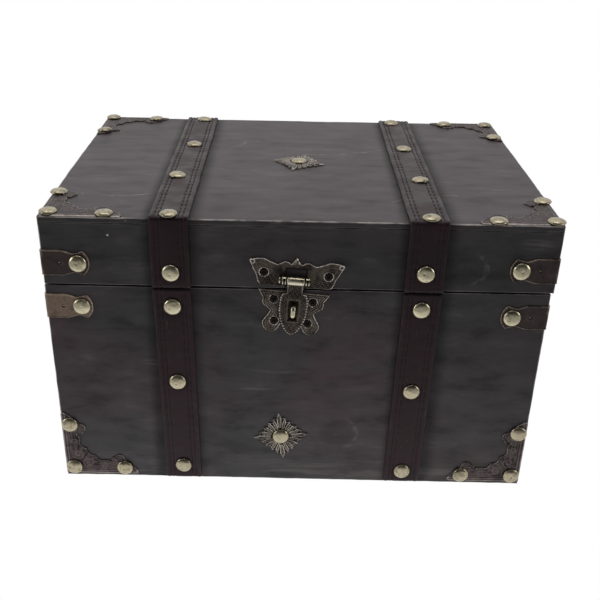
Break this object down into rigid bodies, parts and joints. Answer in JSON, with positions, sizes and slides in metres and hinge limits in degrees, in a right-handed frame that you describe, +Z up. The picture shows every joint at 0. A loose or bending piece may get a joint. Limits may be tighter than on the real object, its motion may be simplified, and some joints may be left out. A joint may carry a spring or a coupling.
{
  "type": "decorative wooden trunk",
  "caption": "Small rectangular wooden trunk with a hinged lid, leather straps, metal corner plates, dome-headed nails and a butterfly hasp latch.",
  "frame": {"origin": "middle of the underside of the case, on the surface the trunk stands on", "axes": "+Z up, the front with the latch faces -Y, width along X"},
  "size_m": [0.3065, 0.2278, 0.1863],
  "materials": {
    "wood": "near-black stained wood, satin, with faint pale streaks and purple-brown patches",
    "leather": "dark brown imitation leather, satin, stitched along both edges",
    "bronze": "antique bronze, dark in the hollows and worn pale on the edges",
    "brass": "pale antique brass, semi-polished"
  },
  "bodies": {
    "case": {"case_back_board": "wood", "case_bottom_panel": "wood", "case_bracket_left": "bronze", "case_bracket_left_nails": "brass", "case_bracket_right": "bronze", "case_bracket_right_nails": "brass", "case_corner_left": "bronze", "case_corner_left_nails": "brass", "case_corner_right": "bronze", "case_corner_right_nails": "brass", "case_front_board": "wood", "case_left_board": "wood", "case_right_board": "wood", "case_strap_back_left": "leather", "case_strap_back_left_nails": "brass", "case_strap_back_right": "leather", "case_strap_back_right_nails": "brass", "case_strap_front_left": "leather", "case_strap_front_left_nails": "brass", "case_strap_front_right": "leather", "case_strap_front_right_nails": "brass", "front_star": "bronze", "front_star_nail": "brass", "hinge_case_leaf_left": "bronze", "hinge_case_leaf_right": "bronze", "hinge_pin_left": "bronze", "hinge_pin_right": "bronze", "latch_case_plate": "bronze", "latch_case_screws": "bronze", "latch_staple": "brass"},
    "lid": {"hinge_lid_leaf_left": "bronze", "hinge_lid_leaf_right": "bronze", "latch_lid_plate": "bronze", "latch_lid_screw_left": "bronze", "latch_lid_screw_right": "bronze", "latch_pin": "brass", "lid_back_board": "wood", "lid_bracket_left": "bronze", "lid_bracket_left_nails": "brass", "lid_bracket_right": "bronze", "lid_bracket_right_nails": "brass", "lid_corner_back_left": "bronze", "lid_corner_back_left_nails": "brass", "lid_corner_back_right": "bronze", "lid_corner_back_right_nails": "brass", "lid_corner_front_left": "bronze", "lid_corner_front_left_nails": "brass", "lid_corner_front_right": "bronze", "lid_corner_front_right_nails": "brass", "lid_front_board": "wood", "lid_left_board": "wood", "lid_right_board": "wood", "lid_strap_left": "leather", "lid_strap_left_nails": "brass", "lid_strap_right": "leather", "lid_strap_right_nails": "brass", "lid_top_panel": "wood", "top_star": "bronze", "top_star_nail": "brass"},
    "hasp": {"hasp": "bronze"}
  },
  "joints": [
    {"name": "lid_hinge", "type": "hinge", "parent": "case", "child": "lid", "pos_m": [0, 0.1111, 0.14], "axis": [-1, 0, 0], "range_deg": [0, 105]},
    {"name": "hasp_hinge", "type": "hinge", "parent": "lid", "child": "hasp", "pos_m": [-0.001, -0.1116, 0.1466], "axis": [-0.9979, 0, 0.0645], "range_deg": [0, 150]}
  ]
}
